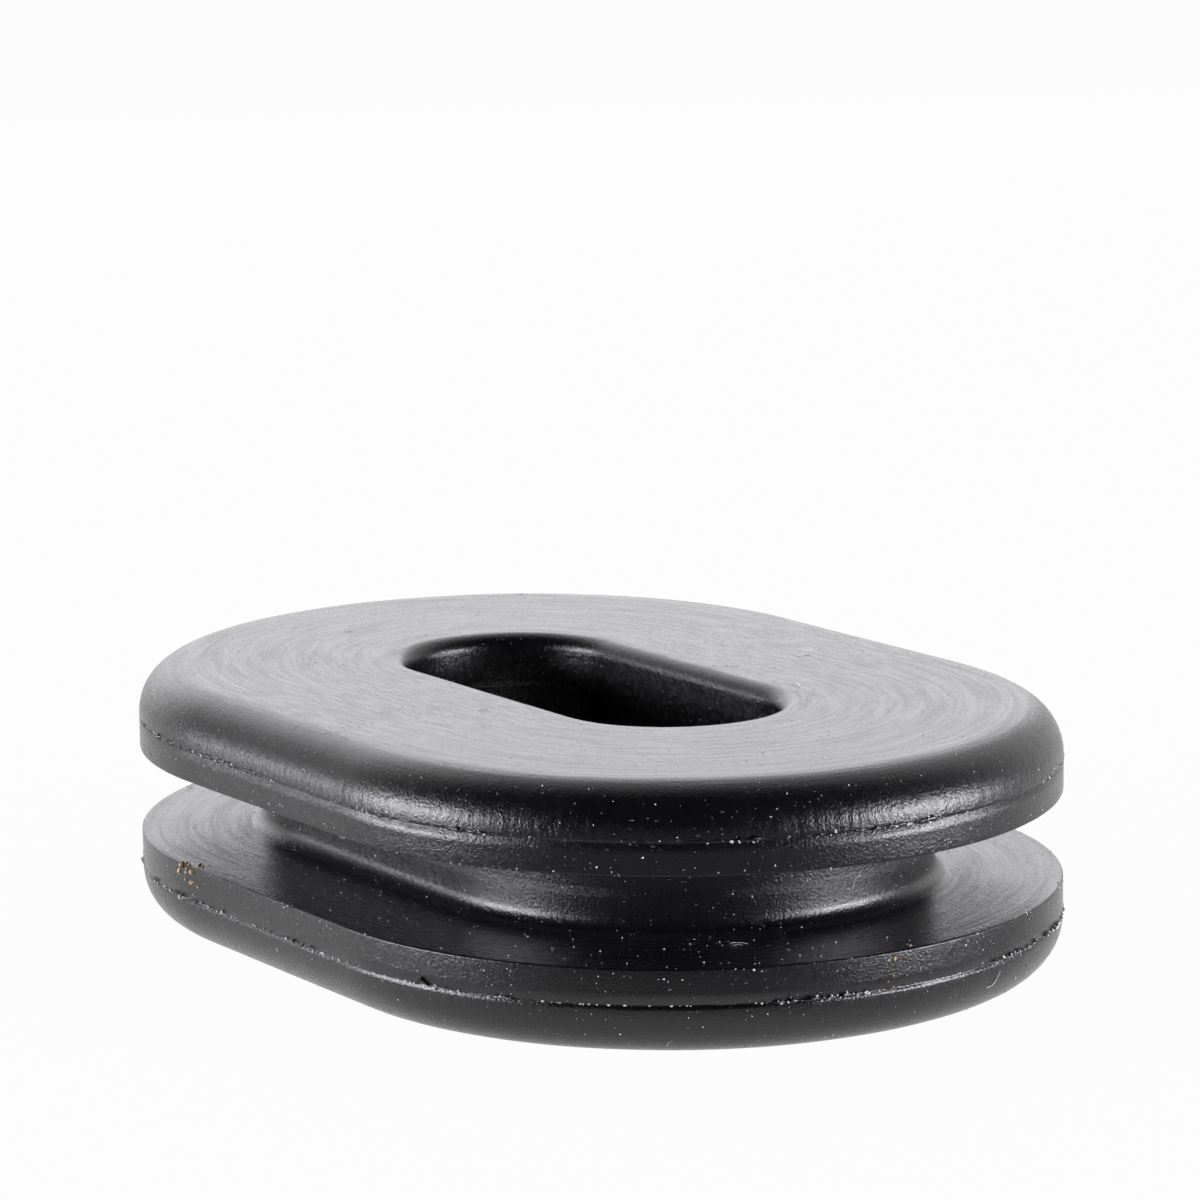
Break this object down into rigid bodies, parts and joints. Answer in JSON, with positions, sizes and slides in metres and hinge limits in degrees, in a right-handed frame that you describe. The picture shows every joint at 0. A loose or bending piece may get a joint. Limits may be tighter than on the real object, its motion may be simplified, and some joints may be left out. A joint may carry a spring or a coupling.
{
  "type": "oblong rubber grommet",
  "caption": "Oblong black rubber panel grommet: two stadium-shaped flanges with a panel groove between them and a through slot for a flat peg.",
  "frame": {"origin": "centre of the bottom face, on the plane that it rests on", "axes": "+Z through the slot, from the bottom face to the top face; +X along the long side of the outline; +Y across it"},
  "size_m": [0.0322, 0.0232, 0.0077],
  "materials": {
    "moulded_rubber": "matte moulded black rubber with a faint sheen"
  },
  "bodies": {
    "root": {"grommet": "moulded_rubber"}
  },
  "joints": []
}
